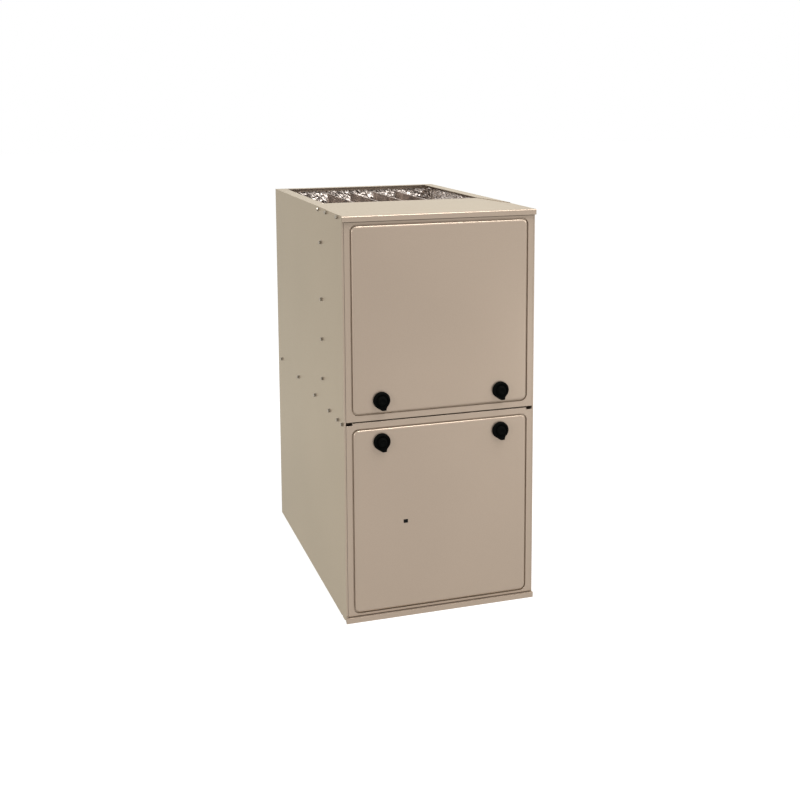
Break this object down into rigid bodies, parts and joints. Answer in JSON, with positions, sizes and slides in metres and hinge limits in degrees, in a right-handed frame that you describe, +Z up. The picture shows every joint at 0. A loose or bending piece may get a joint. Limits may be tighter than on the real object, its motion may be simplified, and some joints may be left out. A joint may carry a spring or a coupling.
{
  "type": "forced air gas furnace",
  "caption": "Upright sheet steel forced air gas furnace with lift-off doors, quarter turn latch knobs and an open supply duct flange on top.",
  "frame": {"origin": "under the middle of the whole object, on the surface it stands on", "axes": "+Z up, doors face -Y, +X to the right seen from the front"},
  "size_m": [0.4524, 0.7322, 0.908],
  "materials": {
    "casing_paint": "satin champagne beige metallic enamel",
    "galvanised_steel": "galvanised sheet with a faint spangle",
    "foil_liner": "crinkled foil facing on glass fibre",
    "aluminised_steel": "aluminised steel, heat tinted brown",
    "black_plastic": "moulded, matt",
    "knob_plastic": "moulded, satin black",
    "rubber_black": "soft, matt",
    "pvc_white": "extruded pipe, slight gloss",
    "wheel_steel": "galvanised, bright",
    "motor_paint": "semi-gloss black",
    "manifold_paint": "black lacquer",
    "cast_aluminium": "as cast, fine grain",
    "valve_knob_plastic": "blue, moulded",
    "ceramic_white": "unglazed steatite",
    "switch_body": "moulded, grey",
    "button_red": "moulded",
    "board_green": "printed circuit board with solder mask",
    "capacitor_can": "drawn can, satin",
    "plunger_white": "moulded",
    "screw_zinc": "zinc plated, slightly yellow",
    "sight_window": "smoked clear plastic"
  },
  "bodies": {
    "casing": {"casing_left_side": "casing_paint", "casing_right_side": "casing_paint", "casing_back": "casing_paint", "casing_rails": "casing_paint", "top_plate": "casing_paint", "base_rail": "casing_paint", "blower_deck": "galvanised_steel", "cell_panel": "galvanised_steel", "control_panel": "galvanised_steel", "blower_housing": "galvanised_steel", "motor_mount": "galvanised_steel", "junction_box": "galvanised_steel", "burner_rack": "galvanised_steel", "secondary_coil": "galvanised_steel", "left_insulation": "foil_liner", "right_insulation": "foil_liner", "back_insulation": "foil_liner", "heat_cell_1": "aluminised_steel", "heat_cell_2": "aluminised_steel", "heat_cell_3": "aluminised_steel", "heat_cell_4": "aluminised_steel", "coupling_box": "aluminised_steel", "collector_box": "black_plastic", "inducer_housing": "black_plastic", "door_switch": "black_plastic", "drain_coupling": "rubber_black", "pipe_couplings": "rubber_black", "pressure_hose": "rubber_black", "entry_grommets": "rubber_black", "vent_pipe": "pvc_white", "condensate_trap": "pvc_white", "blower_motor": "motor_paint", "inducer_motor": "motor_paint", "transformer": "motor_paint", "gas_manifold": "manifold_paint", "gas_valve": "cast_aluminium", "igniter": "ceramic_white", "flame_sensor": "ceramic_white", "limit_switch": "switch_body", "rollout_switch": "switch_body", "pressure_switch": "switch_body", "control_board": "board_green", "capacitor": "capacitor_can", "casing_screws": "screw_zinc"},
    "upper_door": {"upper_door": "casing_paint"},
    "lower_door": {"lower_door": "casing_paint", "sight_glass": "sight_window"},
    "upper_left_latch": {"upper_left_knob": "knob_plastic", "upper_left_cam": "screw_zinc"},
    "upper_right_latch": {"upper_right_knob": "knob_plastic", "upper_right_cam": "screw_zinc"},
    "lower_left_latch": {"lower_left_knob": "knob_plastic", "lower_left_cam": "screw_zinc"},
    "lower_right_latch": {"lower_right_knob": "knob_plastic", "lower_right_cam": "screw_zinc"},
    "blower_wheel": {"blower_wheel": "wheel_steel"},
    "inducer_wheel": {"inducer_wheel": "wheel_steel"},
    "valve_knob": {"gas_valve_knob": "valve_knob_plastic"},
    "rollout_button": {"rollout_button": "button_red"},
    "switch_plunger": {"door_switch_plunger": "plunger_white"}
  },
  "joints": [
    {"name": "upper_door_lift_off", "type": "slide", "parent": "casing", "child": "upper_door", "axis": [0, -1, 0], "range_m": [0, 0.3]},
    {"name": "lower_door_lift_off", "type": "slide", "parent": "casing", "child": "lower_door", "axis": [0, -1, 0], "range_m": [0, 0.3]},
    {"name": "upper_left_latch_turn", "type": "hinge", "parent": "upper_door", "child": "upper_left_latch", "pos_m": [-0.13925, -0.3531, 0.5015], "axis": [0, 1, 0], "range_deg": [0, 90]},
    {"name": "upper_right_latch_turn", "type": "hinge", "parent": "upper_door", "child": "upper_right_latch", "pos_m": [0.13925, -0.3531, 0.5015], "axis": [0, -1, 0], "range_deg": [0, 90]},
    {"name": "lower_left_latch_turn", "type": "hinge", "parent": "lower_door", "child": "lower_left_latch", "pos_m": [-0.13925, -0.3531, 0.4085], "axis": [0, -1, 0], "range_deg": [0, 90]},
    {"name": "lower_right_latch_turn", "type": "hinge", "parent": "lower_door", "child": "lower_right_latch", "pos_m": [0.13925, -0.3531, 0.4085], "axis": [0, 1, 0], "range_deg": [0, 90]},
    {"name": "blower_spin", "type": "hinge", "parent": "casing", "child": "blower_wheel", "pos_m": [0, 0.0509, 0.215], "axis": [1, 0, 0], "continuous": true},
    {"name": "inducer_spin", "type": "hinge", "parent": "casing", "child": "inducer_wheel", "pos_m": [-0.05, -0.2191, 0.5795], "axis": [0, 1, 0], "continuous": true},
    {"name": "gas_valve_turn", "type": "hinge", "parent": "casing", "child": "valve_knob", "pos_m": [0.15925, -0.2911, 0.857], "axis": [0, -1, 0], "range_deg": [0, 90]},
    {"name": "rollout_reset", "type": "slide", "parent": "casing", "child": "rollout_button", "axis": [0, 1, 0], "range_m": [0, 0.0015], "stiffness_N_per_m": 300},
    {"name": "door_switch_travel", "type": "slide", "parent": "casing", "child": "switch_plunger", "axis": [0, -1, 0], "range_m": [0, 0.006]}
  ],
  "couplings": [
    {"joint": "door_switch_travel", "follows": "lower_door_lift_off", "ratio": 0.02}
  ]
}
